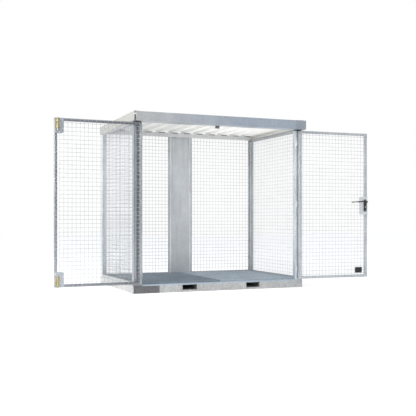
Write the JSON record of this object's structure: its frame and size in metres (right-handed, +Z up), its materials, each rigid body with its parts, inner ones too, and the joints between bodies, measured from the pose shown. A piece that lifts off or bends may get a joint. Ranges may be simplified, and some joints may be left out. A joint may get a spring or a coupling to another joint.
{
  "type": "gas cylinder cage",
  "caption": "Galvanised walk-in storage cage for gas cylinders: mesh walls, grating floor on a forklift base, sheet roof and double mesh doors standing open.",
  "frame": {"origin": "on the ground, at the middle of the base frame's underside", "axes": "+X to the right along the front, +Y from the front to the rear, +Z up"},
  "size_m": [4.391, 1.7942, 2.2727],
  "materials": {
    "galvanised": "hot-dip galvanised, dull spangle",
    "folded_sheet": "galvanised sheet",
    "mesh_wire": "galvanised wire",
    "grating_steel": "galvanised bar grating",
    "roof_sheet": "light grey coated sheet",
    "yellow_zinc": "yellow passivated zinc",
    "lock_metal": "satin nickel",
    "black_furniture": "satin black",
    "black_plate": "matte, blank"
  },
  "bodies": {
    "cage": {"front_sill": "galvanised", "rear_sill": "galvanised", "side_sills": "galvanised", "centre_bearer": "galvanised", "fork_pockets": "galvanised", "left_grating": "grating_steel", "right_grating": "grating_steel", "front_posts": "galvanised", "rear_posts": "galvanised", "post_packers": "galvanised", "front_header": "galvanised", "rear_top_rail": "galvanised", "side_top_rails": "galvanised", "top_keeper": "galvanised", "roof_sheet": "roof_sheet", "roof_verges": "roof_sheet", "front_fascia": "folded_sheet", "left_wall_frame": "galvanised", "left_wall_mesh": "mesh_wire", "right_wall_frame": "galvanised", "right_wall_mesh": "mesh_wire", "rear_left_frame": "galvanised", "rear_left_mesh": "mesh_wire", "rear_right_frame": "galvanised", "rear_right_mesh": "mesh_wire", "rear_centre_posts": "galvanised", "rear_centre_column": "folded_sheet", "hinge_pins": "galvanised"},
    "left_leaf": {"left_leaf_frame": "galvanised", "left_leaf_mesh": "mesh_wire", "left_leaf_knuckles": "galvanised", "corner_plates": "galvanised", "bolt_housings": "yellow_zinc"},
    "right_leaf": {"right_leaf_frame": "galvanised", "right_leaf_mesh": "mesh_wire", "right_leaf_knuckles": "galvanised", "lock_case": "galvanised", "lock_plates": "galvanised", "lock_backplates": "black_furniture", "lock_cylinder": "lock_metal", "blank_plate": "black_plate"},
    "top_bolt": {"top_shoot_bolt": "yellow_zinc"},
    "bottom_bolt": {"bottom_shoot_bolt": "yellow_zinc"},
    "handle": {"lock_lever": "black_furniture"}
  },
  "joints": [
    {"name": "left_leaf_hinge", "type": "hinge", "parent": "cage", "child": "left_leaf", "pos_m": [-1.1, -0.792, 0.25], "axis": [0, 0, 1], "range_deg": [0, 179]},
    {"name": "right_leaf_hinge", "type": "hinge", "parent": "cage", "child": "right_leaf", "pos_m": [1.1, -0.792, 0.25], "axis": [0, 0, -1], "range_deg": [0, 177.6]},
    {"name": "top_bolt_slide", "type": "slide", "parent": "left_leaf", "child": "top_bolt", "axis": [0, 0, 1], "range_m": [0, 0.035]},
    {"name": "bottom_bolt_slide", "type": "slide", "parent": "left_leaf", "child": "bottom_bolt", "axis": [0, 0, -1], "range_m": [0, 0.035]},
    {"name": "handle_turn", "type": "hinge", "parent": "right_leaf", "child": "handle", "pos_m": [2.15425, -0.85585, 1.168], "axis": [-0.0419, -0.9991, 0], "range_deg": [0, 40], "stiffness_Nm_per_rad": 3, "springref_deg": -34.38}
  ]
}
